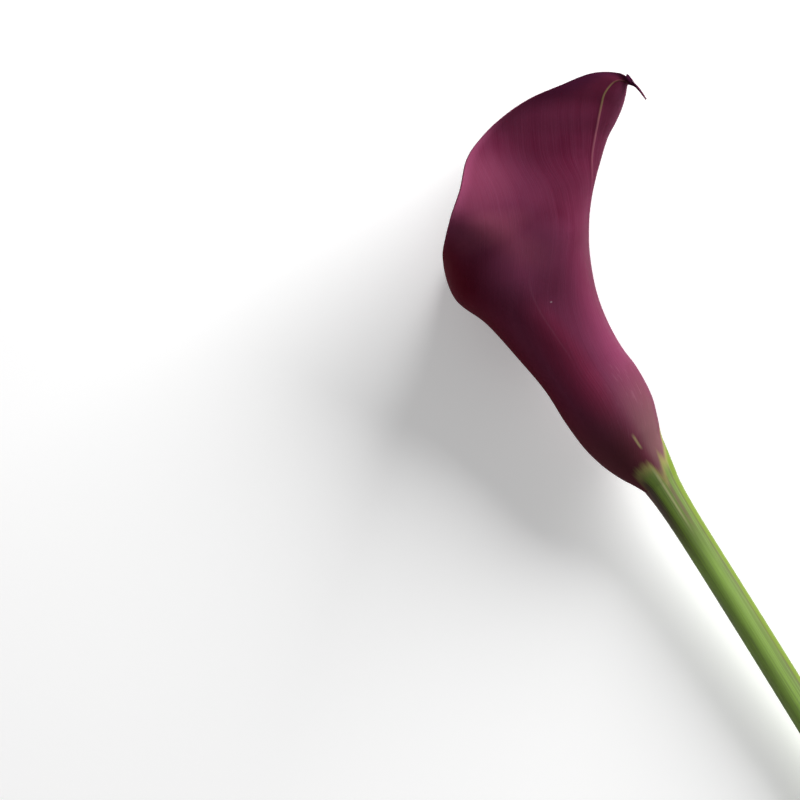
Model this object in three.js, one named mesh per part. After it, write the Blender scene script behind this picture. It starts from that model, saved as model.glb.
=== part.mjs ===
// A single calla lily, picked and laid on its side: the rolled spathe, the spadix in its throat, the stem.
// Millimetres. The flower lies on the plane z = 0. Its stem runs along +X, its mouth is towards -X, and the
// back of the spathe, with the midrib and the hooked tip, is towards +Y. The spathe's foot is over the
// origin while the pieces are built, and the group at the end centres them.
import * as THREE from "three";

// Stem
const STEM_LENGTH = 242;
const STEM_RADIUS = 4.5;
const STEM_CUT_RADIUS = 4.9;
const STEM_SWAY = -5;
const STEM_SWELL = 1.1;
const STEM_SWELL_LENGTH = 7;
const STEM_SIDES = 18;
const STEM_RINGS = 30;

// Neck, the narrower top of the stem, inside the foot of the spathe
const NECK_LENGTH = 7;
const NECK_RADIUS = 4.4;
const NECK_TIP_RADIUS = 3.5;
const NECK_TIP_LENGTH = 1;
const SEAM = 0.3;
const COLLAR_EDGE = 0.35;

// Height of the flower's axis over the ground: the stem sinks in a soft curve until it lies on its cut end
const FOOT_HEIGHT = 16.5;
const SAG_POWER = 1.5;

// Spadix: the taper of its foot and its blunt end are shares of its length, and its end's width a share of
// its full width
const SPADIX_LENGTH = 62;
const SPADIX_RADIUS = 4.1;
const SPADIX_FOOT_RADIUS = 2.8;
const SPADIX_TAPER = 0.2;
const SPADIX_BLUNT = 0.1;
const SPADIX_END = 0.14;
const FLORET_RELIEF = 0.35;
const FLORETS_AROUND = 7;
const FLORET_ROWS = 16;
const SPADIX_SIDES = 4 * FLORETS_AROUND;
const SPADIX_RINGS = 3 * FLORET_ROWS;
const SPADIX_STATIONS = [2.5, 4, 5.5, 7, 8.5, 9.5];

// Spathe
const BLADE = 0.9;
const BLADE_AT_RIM = 0.65;
const BLADE_AT_TIP = 0.45;
const FLAP_SPACING = 0.8;
const NEAR_FLARE = 2;
const FAR_FLARE = 4.5;
const RIM_WAVE = 1.3;
const RIM_WAVES = 5;
const NEAR_WAVE_PHASE = 3.2;
const FAR_WAVE_PHASE = 2.4;
const RIM_START = 0.62;
const FULLNESS = 0.7;
const FULLNESS_AT_TIP = 0.28;
const DISH = 7.5;
const DISH_START = 0.2;
const DISH_POWER = 1.5;
const CREST_SLANT = 3.6;
const REST_BLEND = 0.9;
const ROWS_PER_STATION = 3;
const COLUMNS = 30;

// The spathe is a sheet carried by stations from its foot to its hooked tip. At each station, back and front
// are the points [x, y] where the section crosses the flower's own plane, half is how far the section bulges
// to either side of that plane, and the angles in degrees run round the section from the back: rib is where
// the midrib lies, near is the margin of the upper flap and far the margin of the lower flap. Angles of near
// and far that pass a full turn together make the flaps overlap. The flower is rolled a little on its side,
// so towards the tip lift raises the sections over the height of the flower's axis.
const STATIONS = [
  { back: [0.1, 5.2], front: [-0.1, -5.2], half: 5.2, rib: 14, near: 198, far: 150, lift: 0 },
  { back: [-6.9, 6.5], front: [-4.5, -6.8], half: 6.6, rib: 14, near: 202, far: 153, lift: 0 },
  { back: [-12.3, 7.5], front: [-9.6, -9.2], half: 8.3, rib: 13, near: 222, far: 168, lift: 0 },
  { back: [-17.5, 9.4], front: [-14.9, -11.2], half: 10.6, rib: 12, near: 232, far: 182, lift: 0 },
  { back: [-24.0, 11.4], front: [-21.8, -12.7], half: 12.2, rib: 11, near: 236, far: 188, lift: 0 },
  { back: [-32.9, 12.1], front: [-30.9, -13.3], half: 12.9, rib: 10, near: 238, far: 190, lift: 0 },
  { back: [-41.4, 11.5], front: [-42.0, -13.3], half: 13.4, rib: 10, near: 238, far: 190, lift: 0 },
  { back: [-50.9, 12.2], front: [-54.0, -14.9], half: 14.8, rib: 10, near: 236, far: 188, lift: 0 },
  { back: [-59.9, 14.3], front: [-68.2, -17.4], half: 17.5, rib: 10, near: 232, far: 184, lift: 0 },
  { back: [-69.5, 18.3], front: [-79.8, -21.4], half: 21.6, rib: 9, near: 207, far: 172, lift: 0 },
  { back: [-76.4, 22.4], front: [-91.9, -18.0], half: 24.0, rib: 9, near: 162, far: 146, lift: 0 },
  { back: [-82.2, 26.8], front: [-99.4, -10.8], half: 24.6, rib: 10, near: 119, far: 108, lift: 0 },
  { back: [-86.9, 31.2], front: [-105.5, -4.0], half: 24.2, rib: 13, near: 102, far: 92, lift: 0.4 },
  { back: [-91.7, 36.4], front: [-112.6, 2.6], half: 22.8, rib: 21, near: 96, far: 88, lift: 1.6 },
  { back: [-96.2, 41.7], front: [-115.9, 10.0], half: 20.8, rib: 27, near: 100, far: 88, lift: 3.8 },
  { back: [-98.9, 46.3], front: [-117.6, 18.4], half: 18.2, rib: 33, near: 96, far: 88, lift: 7 },
  { back: [-101.5, 50.1], front: [-117.9, 27.8], half: 14.4, rib: 39, near: 93, far: 82, lift: 11 },
  { back: [-103.8, 52.6], front: [-116.5, 37.6], half: 10.2, rib: 45, near: 90, far: 76, lift: 15.5 },
  { back: [-105.8, 54.5], front: [-114.7, 47.1], half: 6.4, rib: 45, near: 84, far: 70, lift: 19 },
  { back: [-106.1, 55.1], front: [-111.1, 53.6], half: 3.2, rib: 38, near: 78, far: 68, lift: 21 },
  { back: [-105.3, 55.9], front: [-108.2, 55.9], half: 1.8, rib: 20, near: 70, far: 64, lift: 22.5 },
  { back: [-103.7, 56.8], front: [-104.2, 57.1], half: 1.2, rib: 0, near: 45, far: 45, lift: 22.5 },
  { back: [-99.7, 58.3], front: [-99.8, 58.5], half: 0.9, rib: 0, near: 30, far: 30, lift: 21.5 },
];
const LAST_STATION = STATIONS.length - 1;

// Stations between which the flaps are spaced apart, where the rim starts to flare and stops, where the
// section grows fuller than an ellipse, and where the upper flap dishes up towards its margin and stops
const SPACING_STATIONS = [0, 1.6];
const NEAR_FLARE_STATIONS = [9.6, 11.4];
const FAR_FLARE_STATIONS = [10.8, 13.5];
const FLARE_OUT_STATIONS = [13.5, 18];
const THINNING_STATIONS = [16, 20];
const TIP_THINNING_STATIONS = [17, 19.5];
const BACK_FULL_STATIONS = [3, 11];
const FRONT_FULL_STATIONS = [9.7, 11.6];
const TIP_FULL_STATIONS = [15, 19];
const DISH_STATIONS = [8.9, 10.6];
const DISH_OUT_STATIONS = [11, 15];

function smooth(value, low, high) {
  return THREE.MathUtils.smoothstep(value, low, high);
}

// A curve through the numbers of one column of the stations, at any place w counted in stations.
function alongStations(column, w) {
  const index = Math.min(Math.floor(w), LAST_STATION - 1);
  const at = (i) => column(STATIONS[THREE.MathUtils.clamp(i, 0, LAST_STATION)]);
  const t = w - index;
  const [a, b, c, d] = [at(index - 1), at(index), at(index + 1), at(index + 2)];
  return b + 0.5 * t * (c - a + t * (2 * a - 5 * b + 4 * c - d + t * (3 * (b - c) + d - a)));
}

// Height of the flower's axis at the distance x from the foot, along the stem and beyond the foot.
function axisHeight(x) {
  const drop = FOOT_HEIGHT - STEM_CUT_RADIUS;
  if (x < 0) {
    return FOOT_HEIGHT - (drop * SAG_POWER * x) / STEM_LENGTH;
  }
  return STEM_CUT_RADIUS + drop * (1 - x / STEM_LENGTH) ** SAG_POWER;
}

// How much fuller than an ellipse the section is, at the angle round it: all round its back half, and in its
// front half on the upper flap alone.
function fullness(w, angle) {
  const most = THREE.MathUtils.lerp(FULLNESS, FULLNESS_AT_TIP, smooth(w, ...TIP_FULL_STATIONS));
  if (Math.cos(angle) > 0) {
    return most * smooth(w, ...BACK_FULL_STATIONS);
  }
  return angle > 0 ? most * smooth(w, ...FRONT_FULL_STATIONS) : 0;
}

// How far the upper flap rises towards its margin. The crest of the rise runs slantwise down the flap.
function dishRise(w, s) {
  const share = Math.max(s - DISH_START, 0) / (1 - DISH_START);
  const reach = w + CREST_SLANT * (1 - share);
  const risen = smooth(reach, ...DISH_STATIONS) * (1 - smooth(reach, ...DISH_OUT_STATIONS));
  return DISH * risen * share ** DISH_POWER;
}

// How thick the spathe is: thinner at its margins, and thinnest in its tail.
function bladeAt(w, s) {
  const thinned = Math.max(smooth(Math.abs(s), RIM_START, 1), smooth(w, ...THINNING_STATIONS));
  const blade = THREE.MathUtils.lerp(BLADE, BLADE_AT_RIM, thinned);
  return THREE.MathUtils.lerp(blade, BLADE_AT_TIP, smooth(w, ...TIP_THINNING_STATIONS));
}

// A point of the spathe's middle surface: w runs from foot to tip in stations, and s from the far margin,
// -1, through the midrib, 0, to the near margin, 1.
function sheetPoint(w, s) {
  const back = new THREE.Vector2(
    alongStations((station) => station.back[0], w),
    alongStations((station) => station.back[1], w),
  );
  const front = new THREE.Vector2(
    alongStations((station) => station.front[0], w),
    alongStations((station) => station.front[1], w),
  );
  const across = alongStations((station) => station.half, w);
  const rib = THREE.MathUtils.degToRad(alongStations((station) => station.rib, w));
  const near = THREE.MathUtils.degToRad(alongStations((station) => station.near, w));
  const far = THREE.MathUtils.degToRad(alongStations((station) => station.far, w));
  const angle = s >= 0 ? rib + s * (near - rib) : rib + s * (far + rib);

  const toFront = front.clone().sub(back);
  const deep = toFront.length() / (1 - Math.cos(Math.min(near, Math.PI)));
  toFront.normalize();
  const centre = back.clone().addScaledVector(toFront, deep);

  // Outward direction of the section, for the spacing of the flaps and for the flare and waves of the rim
  const outFront = -across * Math.cos(angle);
  const outSide = deep * Math.sin(angle);
  const outLength = Math.hypot(outFront, outSide);
  const turned = Math.sign(angle) * Math.sin(Math.min(Math.abs(angle), Math.PI) / 2);
  const spaced = FLAP_SPACING * smooth(w, ...SPACING_STATIONS) * turned;
  const rim = ((Math.max(Math.abs(s), RIM_START) - RIM_START) / (1 - RIM_START)) ** 2;
  const flareIn = s > 0 ? NEAR_FLARE_STATIONS : FAR_FLARE_STATIONS;
  const flared = smooth(w, ...flareIn) * (1 - smooth(w, ...FLARE_OUT_STATIONS));
  const phase = s > 0 ? NEAR_WAVE_PHASE : FAR_WAVE_PHASE;
  const wave = Math.sin((RIM_WAVES * 2 * Math.PI * w) / LAST_STATION + phase);
  const flare = s > 0 ? NEAR_FLARE : FAR_FLARE;
  const outward = spaced + rim * flared * (flare + RIM_WAVE * wave);

  const frontward = -deep * Math.cos(angle) + (outward * outFront) / outLength;
  const bulge = across * Math.sin(angle) * (1 + fullness(w, angle) * Math.cos(angle) ** 2);
  const sideways = bulge + (outward * outSide) / outLength;
  const flat = centre.addScaledVector(toFront, frontward);
  const lift = alongStations((station) => station.lift, w) + dishRise(w, s);
  const height = axisHeight((back.x + front.x) / 2) + lift + sideways;

  // The lowest part of the spathe is pressed flat where the flower rests on it
  const over = height - BLADE / 2;
  let pressed = over;
  if (over < REST_BLEND) {
    pressed = over < -REST_BLEND ? 0 : (over + REST_BLEND) ** 2 / (4 * REST_BLEND);
  }
  return new THREE.Vector3(flat.x, flat.y, BLADE / 2 + pressed);
}

// Direction out of the sheet, away from the throat.
function sheetNormal(w, s) {
  const step = 0.01;
  const along = sheetPoint(Math.min(w + step, LAST_STATION), s).sub(sheetPoint(Math.max(w - step, 0), s));
  const across = sheetPoint(w, Math.min(s + step, 1)).sub(sheetPoint(w, Math.max(s - step, -1)));
  return along.cross(across).normalize();
}

// A closed body from triangles given as index triples.
function bodyFrom(points, triangles) {
  const geometry = new THREE.BufferGeometry().setFromPoints(points);
  geometry.setIndex(triangles.flat());
  geometry.computeVertexNormals();
  return geometry;
}

// The spathe: both faces of the sheet, joined by a narrow wall all round its edge.
function spatheGeometry() {
  const rows = LAST_STATION * ROWS_PER_STATION;
  const points = [];
  for (const side of [1, -1]) {
    for (let i = 0; i <= rows; i += 1) {
      const w = i / ROWS_PER_STATION;
      for (let j = 0; j <= COLUMNS; j += 1) {
        const s = -1 + (2 * j) / COLUMNS;
        const offset = (side * bladeAt(w, s)) / 2;
        points.push(sheetPoint(w, s).addScaledVector(sheetNormal(w, s), offset));
      }
    }
  }
  const inner = (rows + 1) * (COLUMNS + 1);
  const at = (i, j) => i * (COLUMNS + 1) + j;
  const triangles = [];
  for (let i = 0; i < rows; i += 1) {
    for (let j = 0; j < COLUMNS; j += 1) {
      const [a, b, c, d] = [at(i, j), at(i + 1, j), at(i + 1, j + 1), at(i, j + 1)];
      triangles.push([a, b, c], [a, c, d]);
      triangles.push([inner + a, inner + c, inner + b], [inner + a, inner + d, inner + c]);
    }
  }
  const wall = (a, b) => triangles.push([a, b, inner + b], [a, inner + b, inner + a]);
  for (let i = 0; i < rows; i += 1) {
    wall(at(i + 1, 0), at(i, 0));
    wall(at(i, COLUMNS), at(i + 1, COLUMNS));
  }
  for (let j = 0; j < COLUMNS; j += 1) {
    wall(at(0, j), at(0, j + 1));
    wall(at(rows, j + 1), at(rows, j));
  }
  return bodyFrom(points, triangles);
}

// A closed round body from rings of points, each ring given as a function of the angle round it.
function roundBody(rings, sides, startPole, endPole) {
  const points = [startPole, endPole];
  for (const ring of rings) {
    for (let j = 0; j < sides; j += 1) {
      points.push(ring((2 * Math.PI * j) / sides));
    }
  }
  const at = (i, j) => 2 + i * sides + (j % sides);
  const triangles = [];
  for (let j = 0; j < sides; j += 1) {
    triangles.push([0, at(0, j + 1), at(0, j)]);
    triangles.push([1, at(rings.length - 1, j), at(rings.length - 1, j + 1)]);
    for (let i = 0; i < rings.length - 1; i += 1) {
      triangles.push([at(i, j), at(i, j + 1), at(i + 1, j + 1)], [at(i, j), at(i + 1, j + 1), at(i + 1, j)]);
    }
  }
  return bodyFrom(points, triangles);
}

// A ring across a direction, round a centre.
function ringAcross(centre, direction, radiusAt) {
  const side = new THREE.Vector3(0, 1, 0).cross(direction).normalize();
  const up = direction.clone().cross(side).normalize();
  return (angle) =>
    centre
      .clone()
      .addScaledVector(side, radiusAt(angle) * Math.cos(angle))
      .addScaledVector(up, radiusAt(angle) * Math.sin(angle));
}

// Point of the stem's axis at the distance x from the foot.
function stemPoint(x) {
  return new THREE.Vector3(x, STEM_SWAY * Math.max(x / STEM_LENGTH, 0) ** 2, axisHeight(x));
}

// The stem: its neck inside the spathe's foot, a step out to full thickness below the seam, and the shaft.
function stemGeometry() {
  const rings = [];
  const lengthwise = new THREE.Vector3(1, 0, 0);
  const addRing = (x, radius) => rings.push(ringAcross(stemPoint(x), lengthwise, () => radius));
  const shoulder = COLLAR_EDGE + SEAM;
  addRing(-NECK_LENGTH, NECK_TIP_RADIUS);
  addRing(-NECK_LENGTH + NECK_TIP_LENGTH, NECK_RADIUS);
  addRing(shoulder, NECK_RADIUS);
  for (let i = 0; i <= STEM_RINGS; i += 1) {
    const along = i / STEM_RINGS;
    const x = THREE.MathUtils.lerp(shoulder, STEM_LENGTH, along);
    const swell = STEM_SWELL * Math.exp(-x / STEM_SWELL_LENGTH);
    addRing(x, THREE.MathUtils.lerp(STEM_RADIUS, STEM_CUT_RADIUS, along ** 2) + swell);
  }
  return roundBody(rings, STEM_SIDES, stemPoint(-NECK_LENGTH), stemPoint(STEM_LENGTH));
}

// Middle of the tube at the place w, which the spadix follows.
function tubeMiddle(w) {
  const x = alongStations((station) => (station.back[0] + station.front[0]) / 2, w);
  const y = alongStations((station) => (station.back[1] + station.front[1]) / 2, w);
  return new THREE.Vector3(x, y, axisHeight(x));
}

// The spadix: a blunt rod, its florets a net of low knobs raised from its surface.
function spadixGeometry() {
  const foot = stemPoint(-NECK_LENGTH - 2 * SEAM);
  const route = [foot];
  for (const w of SPADIX_STATIONS) {
    route.push(tubeMiddle(w));
  }
  const axis = new THREE.CatmullRomCurve3(route);
  const share = SPADIX_LENGTH / axis.getLength();
  const rings = [];
  for (let i = 0; i <= SPADIX_RINGS; i += 1) {
    const along = i / SPADIX_RINGS;
    const centre = axis.getPointAt(along * share);
    const direction = axis.getTangentAt(along * share);
    const swell = THREE.MathUtils.lerp(SPADIX_FOOT_RADIUS, SPADIX_RADIUS, smooth(along, 0, SPADIX_TAPER));
    const rounding = Math.max(along - 1 + SPADIX_BLUNT, 0) / SPADIX_BLUNT;
    const blunt = Math.sqrt(Math.max(1 - rounding ** 2, SPADIX_END ** 2));
    rings.push(
      ringAcross(centre, direction, (angle) => {
        const turn = FLORETS_AROUND * angle;
        const climb = 2 * Math.PI * FLORET_ROWS * along;
        return (swell + FLORET_RELIEF * Math.cos(turn) * Math.cos(climb)) * blunt;
      }),
    );
  }
  return roundBody(rings, SPADIX_SIDES, axis.getPointAt(0), axis.getPointAt(share));
}

function piece(name, geometry, color, roughness) {
  const material = new THREE.MeshStandardMaterial({ color, roughness, metalness: 0 });
  const mesh = new THREE.Mesh(geometry, material);
  mesh.name = name;
  return mesh;
}

const flower = new THREE.Group();
flower.add(piece("spathe", spatheGeometry(), 0x5e1a3d, 0.5));
flower.add(piece("spadix", spadixGeometry(), 0xd9a441, 0.8));
flower.add(piece("stem", stemGeometry(), 0x6f9440, 0.55));

// Centred over the origin, lying on z = 0
const extent = new THREE.Box3().setFromObject(flower, true);
const middle = extent.getCenter(new THREE.Vector3());
flower.position.set(-middle.x, -middle.y, -extent.min.z);

export default flower;
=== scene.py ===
# %% [markdown]
# A calla lily, picked and laid on its side. What looks like one big petal is a leaf, the spathe, rolled
# into a funnel round a spike of tiny florets, the spadix. The frame holds the same three pieces as plain
# solids. This lesson keeps their places and their forms, and gives each one its fine surface and its
# finish.

# %% Load the frame
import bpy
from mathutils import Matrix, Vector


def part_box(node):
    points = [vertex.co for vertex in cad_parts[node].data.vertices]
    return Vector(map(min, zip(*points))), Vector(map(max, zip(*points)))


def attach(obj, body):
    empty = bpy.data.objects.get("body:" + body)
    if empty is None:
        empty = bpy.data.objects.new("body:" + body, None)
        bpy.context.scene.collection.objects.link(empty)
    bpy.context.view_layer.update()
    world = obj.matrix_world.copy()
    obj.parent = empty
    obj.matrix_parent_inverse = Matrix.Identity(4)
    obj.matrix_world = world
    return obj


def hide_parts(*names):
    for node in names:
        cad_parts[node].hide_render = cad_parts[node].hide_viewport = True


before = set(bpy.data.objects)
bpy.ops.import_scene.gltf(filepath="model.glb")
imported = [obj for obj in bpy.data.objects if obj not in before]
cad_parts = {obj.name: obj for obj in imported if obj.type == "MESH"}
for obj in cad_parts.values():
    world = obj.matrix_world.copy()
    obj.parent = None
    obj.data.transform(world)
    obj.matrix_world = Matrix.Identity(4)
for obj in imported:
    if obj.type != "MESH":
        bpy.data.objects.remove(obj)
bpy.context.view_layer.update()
print("frame nodes:", sorted(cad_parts))

# %% [markdown]
# Blender counts in metres, but a flower is easier to think of in millimetres. So its sizes and the
# camera's distance are in millimetres, and MM turns them into metres. The floor, the lights and the
# camera's reach are far larger, and are in metres. An operator acts on all that is selected, and the
# loaded solids are selected, so everything is deselected before a piece is added.

# %% Tools and units
import math

import bpy
import numpy as np
from mathutils import Matrix, Vector

MM = 0.001


def deselect_all():
    bpy.ops.object.select_all(action="DESELECT")


# %% [markdown]
# The solids were drawn with the foot of the spathe over the origin, and then centred. The stem's box says
# by how much. Its far end is the cut, one stem's length from the foot. There the axis has swayed to the
# low side of Y, and the box ends one cut radius beyond it. The solid stem has eighteen flat sides, so its
# side is a little nearer to the axis than its corners are.

# %% Where the foot of the flower is
STEM_LENGTH = 242
STEM_CUT_RADIUS = 4.9
STEM_SWAY = -5
SOLID_STEM_SIDES = 18
stem_low, stem_high = (Vector(corner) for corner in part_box("stem"))
FOOT_X = stem_high.x / MM - STEM_LENGTH
FOOT_Y = stem_low.y / MM + STEM_CUT_RADIUS * math.cos(math.pi / SOLID_STEM_SIDES) - STEM_SWAY
print(f"the foot is {FOOT_X:.2f} mm, {FOOT_Y:.2f} mm from the origin")


def placed(points):
    """Points in millimetres from the foot, as metres in the frame."""
    moved = np.asarray(points, dtype=float) + np.array([FOOT_X, FOOT_Y, 0.0])
    return moved * MM


# %% [markdown]
# The photograph looks straight down on the flower, with the stem running off at the lower right. A lens
# close by would draw the lifted tip larger than the foot. A long lens far above gives the photograph's
# flat view. The camera is rolled about its own axis, so that up in the picture is the same side of the
# flower as in the photograph.

# %% Camera
PHOTO_WIDTH = 240
PHOTO_ROLL = math.radians(57.5)
PHOTO_CENTRE = (-63.1, -52.7)
FLOWER_HEIGHT = 22
CAMERA_DISTANCE = 3600
CAMERA_REACH = 50
SENSOR = 36

camera_data = bpy.data.cameras.new("camera")
camera_data.sensor_width = SENSOR
camera_data.lens = SENSOR * CAMERA_DISTANCE / PHOTO_WIDTH
camera_data.clip_end = CAMERA_REACH
camera = bpy.data.objects.new("camera", camera_data)
bpy.context.scene.collection.objects.link(camera)
eye = placed([*PHOTO_CENTRE, FLOWER_HEIGHT + CAMERA_DISTANCE])
camera.matrix_world = Matrix.Translation(eye) @ Matrix.Rotation(PHOTO_ROLL, 4, "Z")
bpy.context.scene.camera = camera
print(f"lens {camera_data.lens:.0f} mm, {PHOTO_WIDTH} mm wide at the flower")

# %% [markdown]
# A finish is a tree of nodes. It could be written out link by link, but the leaf alone needs almost three
# hundred nodes. So each kind of node gets one short helper, which adds it, feeds it plain numbers or other
# nodes' outputs, and gives its output back. A Mix node keeps sockets for every kind of data, and the
# numbers below are the places of its colours.

# %% Nodes of a finish
FIRST_COLOUR = 6
SECOND_COLOUR = 7
MIXED_COLOUR = 2


class FinishNodes:
    """A material with one Principled shader, and a helper for each kind of node that can feed it."""

    def __init__(self, name):
        self.material = bpy.data.materials.new(name)
        self.material.use_nodes = True
        self.nodes = self.material.node_tree.nodes
        self.links = self.material.node_tree.links
        self.shader = self.nodes["Principled BSDF"]

    def feed(self, node, values):
        """Feeds a node's inputs by name or number: another node's output is linked, and all else is set."""
        for key, value in values.items():
            socket = node.inputs[key]
            if isinstance(value, bpy.types.NodeSocket):
                self.links.new(value, socket)
            elif socket.type == "RGBA":
                socket.default_value = (*value, 1.0)
            else:
                socket.default_value = value

    def math(self, operation, *values):
        node = self.nodes.new("ShaderNodeMath")
        node.operation = operation
        self.feed(node, dict(enumerate(values)))
        return node.outputs[0]

    def ramp(self, value, low, high, start=0.0, end=1.0):
        """start up to low and end from high on, with a soft change between them."""
        node = self.nodes.new("ShaderNodeMapRange")
        node.interpolation_type = "SMOOTHSTEP"
        self.feed(node, dict(enumerate((value, low, high, start, end))))
        return node.outputs[0]

    def mix(self, share, first, second):
        node = self.nodes.new("ShaderNodeMix")
        node.data_type = "RGBA"
        self.feed(node, {"Factor": share, FIRST_COLOUR: first, SECOND_COLOUR: second})
        return node.outputs[MIXED_COLOUR]

    def noise(self, vector, scale, detail=3.0):
        """Cloudy noise, with about as many spots in one unit of the vector as scale says."""
        node = self.nodes.new("ShaderNodeTexNoise")
        self.feed(node, {"Vector": vector, "Scale": scale, "Detail": detail})
        return node.outputs["Fac"]

    def split(self, vector):
        node = self.nodes.new("ShaderNodeSeparateXYZ")
        self.feed(node, {"Vector": vector})
        return node.outputs

    def combine(self, x, y, z=0.0):
        node = self.nodes.new("ShaderNodeCombineXYZ")
        self.feed(node, {"X": x, "Y": y, "Z": z})
        return node.outputs[0]

    def coordinates(self, kind):
        return self.nodes.new("ShaderNodeTexCoord").outputs[kind]

    def attribute(self, name):
        """A number that is stored with each vertex of the piece."""
        node = self.nodes.new("ShaderNodeAttribute")
        node.attribute_name = name
        return node.outputs["Fac"]


# %% [markdown]
# The flower is coloured as a painter would do it: a ground tone, then tint over tint, each where it
# belongs. A place is picked by a band, which runs along a line, or by a patch, which is round. Both fade
# out softly, and where two of them are multiplied, only their overlap is left.

# %% Tints, bands and patches


class Finish(FinishNodes):
    """A finish that is painted tint by tint."""

    def scaled(self, value, factor, offset):
        return self.math("MULTIPLY_ADD", value, factor, offset)

    def product(self, first, *others):
        for other in others:
            first = self.math("MULTIPLY", first, other)
        return first

    def total(self, first, *others):
        for other in others:
            first = self.math("ADD", first, other)
        return first

    def tint(self, colour, tone, *shares):
        """The colour, with the tone laid over it as far as the product of the shares says."""
        return self.mix(self.product(*shares), colour, tone)

    def band(self, value, middle, half, soft, most=1.0):
        """most where the value is within half of the middle, fading to 0 over soft on both sides."""
        away = self.math("ABSOLUTE", self.math("SUBTRACT", value, middle))
        return self.ramp(away, half, half + soft, most, 0.0)

    def patch(self, s, w, middle, reach, most=1.0):
        """most at one place of the leaf and 0 from its reach on; middle and reach are pairs of s and w."""
        across = self.math("DIVIDE", self.math("SUBTRACT", s, middle[0]), reach[0])
        up = self.math("DIVIDE", self.math("SUBTRACT", w, middle[1]), reach[1])
        squares = self.scaled(across, across, self.math("MULTIPLY", up, up))
        return self.ramp(squares, 0.0, 1.0, most, 0.0)

    def bump(self, height, strength, distance):
        """A fine relief that only the light sees; its distance is in millimetres."""
        node = self.nodes.new("ShaderNodeBump")
        self.feed(node, {"Height": height, "Strength": strength, "Distance": distance * MM})
        self.feed(self.shader, {"Normal": node.outputs[0]})

    def set(self, **values):
        """Feeds the shader's own inputs, such as base_color or specular_ior_level."""
        titles = [name.replace("_", " ").title().replace("Ior", "IOR") for name in values]
        self.feed(self.shader, dict(zip(titles, values.values())))


# %% [markdown]
# The photograph's ground is plain white. A white floor alone would turn grey in the flower's shadow, so
# this one also glows faintly, as a light table does, and the shadow stays pale.

# %% Floor
FLOOR_SIZE = 6
FLOOR_WHITE = (0.93, 0.93, 0.93)
FLOOR_GLOW = 0.25
deselect_all()
bpy.ops.mesh.primitive_plane_add(size=FLOOR_SIZE, location=(0, 0, 0))
floor = bpy.context.object
floor.name = "floor"
floor_finish = Finish("pale floor")
floor_finish.set(base_color=FLOOR_WHITE, roughness=0.9)
floor_finish.set(emission_color=(1.0, 1.0, 1.0), emission_strength=FLOOR_GLOW)
floor.data.materials.append(floor_finish.material)
print("floor:", FLOOR_SIZE, "m wide")

# %% [markdown]
# One large soft light stands low beyond the upper right of the picture. It leaves the left of the tube
# dark, and draws the satin streak down its right. A light from above would show every colour evenly, but
# the tube would look flat. A faint second light and the white surroundings keep the dark side from turning
# black.

# %% Light
KEY_POWER = 37
KEY_SIZE = 0.95
KEY_TURN = math.radians(53)
KEY_CLIMB = math.radians(21)
KEY_DISTANCE = 1.3
FILL_POWER = 1
FILL_SIZE = 1.4
FILL_TURN = math.radians(140)
FILL_CLIMB = math.radians(60)
FILL_DISTANCE = 1.6
WORLD_LIGHT = 0.22
FLOWER_MIDDLE = (-60, 10, FLOWER_HEIGHT)
picture_right = Vector((math.cos(PHOTO_ROLL), math.sin(PHOTO_ROLL), 0))
picture_up = Vector((-math.sin(PHOTO_ROLL), math.cos(PHOTO_ROLL), 0))


def soft_light(name, turn, climb, distance, power, size):
    """A square light that faces the flower: turn counts from the picture's right, climb from the floor."""
    data = bpy.data.lights.new(name, "AREA")
    data.energy = power
    data.size = size
    light = bpy.data.objects.new(name, data)
    bpy.context.scene.collection.objects.link(light)
    level = picture_right * math.cos(turn) + picture_up * math.sin(turn)
    towards = level * math.cos(climb) + Vector((0, 0, math.sin(climb)))
    light.location = Vector(placed(FLOWER_MIDDLE)) + towards * distance
    light.rotation_euler = towards.to_track_quat("Z", "Y").to_euler()
    print(f"{name}: {power} W, {distance} m away")


soft_light("key light", KEY_TURN, KEY_CLIMB, KEY_DISTANCE, KEY_POWER, KEY_SIZE)
soft_light("fill light", FILL_TURN, FILL_CLIMB, FILL_DISTANCE, FILL_POWER, FILL_SIZE)
world = bpy.data.worlds.new("studio")
world.use_nodes = True
surroundings = world.node_tree.nodes["Background"]
surroundings.inputs["Color"].default_value = (1, 1, 1, 1)
surroundings.inputs["Strength"].default_value = WORLD_LIGHT
bpy.context.scene.world = world
bpy.context.scene.view_settings.view_transform = "Standard"

# %% [markdown]
# The spathe grew as a flat leaf and rolled itself up. It could be sculpted from a tube, but then its
# margins and its midrib would be lost. So it is built as it grew: stations from its foot to its hooked tip
# say how wide and how deep the roll is, where the midrib lies and how far round each flap goes. The near
# flap is the upper one, towards the camera, and the far flap lies below it. Near the tip the stations also
# lift the leaf, because the flower is rolled a little on its side. Between them every number follows a
# smooth curve. These are the stations of the solid, except that the end of the tail droops by a millimetre
# more.

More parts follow.
